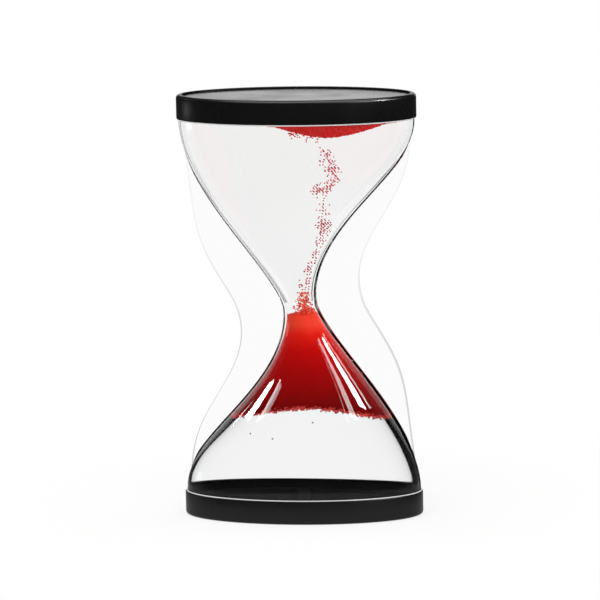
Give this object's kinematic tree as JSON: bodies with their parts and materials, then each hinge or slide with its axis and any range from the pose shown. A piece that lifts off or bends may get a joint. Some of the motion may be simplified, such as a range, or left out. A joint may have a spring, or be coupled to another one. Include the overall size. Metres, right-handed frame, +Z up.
{
  "type": "liquid motion timer",
  "caption": "Oval hourglass timer: clear swayed vessel with flat side webs between black caps, filled with liquid and red beads that float up through the neck.",
  "frame": {"origin": "middle of the resting face under the lower cap", "axes": "+Z up along the height, +X to the right along the long axis of the caps, +Y to the rear"},
  "size_m": [0.082, 0.042, 0.145],
  "materials": {
    "clear_acrylic": "clear moulded acrylic",
    "clear_liquid": "clear liquid",
    "seal_rubber": "moulded rubber",
    "plug_rubber": "moulded rubber",
    "black_abs": "satin moulded ABS",
    "black_disc": "gloss",
    "red_beads": "small polymer beads"
  },
  "bodies": {
    "timer": {"front_half_shell": "clear_acrylic", "rear_half_shell": "clear_acrylic", "upper_end_plate": "clear_acrylic", "lower_end_plate": "clear_acrylic", "upper_mouth_seal": "seal_rubber", "lower_mouth_seal": "seal_rubber", "upper_fill_plug": "plug_rubber", "lower_fill_plug": "plug_rubber", "upper_cap": "black_abs", "lower_cap": "black_abs", "upper_cap_disc": "black_disc", "lower_cap_disc": "black_disc", "lower_bead_mass": "red_beads", "upper_bead_layer": "red_beads", "clear_liquid": "clear_liquid"},
    "low_group": {"rising_beads_low": "red_beads"},
    "middle_group": {"rising_beads_middle": "red_beads"},
    "high_group": {"rising_beads_high": "red_beads"},
    "stray_group": {"stray_beads": "red_beads"}
  },
  "joints": [
    {"name": "low_rise", "type": "slide", "parent": "timer", "child": "low_group", "axis": [0.1219, 0, 0.9925], "range_m": [0, 0.0355], "deforming": ["clear_liquid"]},
    {"name": "middle_rise", "type": "slide", "parent": "timer", "child": "middle_group", "axis": [0.1219, 0, 0.9925], "range_m": [0, 0.019], "deforming": ["clear_liquid"]},
    {"name": "high_rise", "type": "slide", "parent": "timer", "child": "high_group", "axis": [0.1219, 0, 0.9925], "range_m": [0, 0.0025], "deforming": ["clear_liquid"]},
    {"name": "stray_rise", "type": "slide", "parent": "timer", "child": "stray_group", "axis": [0, 0, 1], "range_m": [0, 0.0035], "deforming": ["clear_liquid"]}
  ]
}
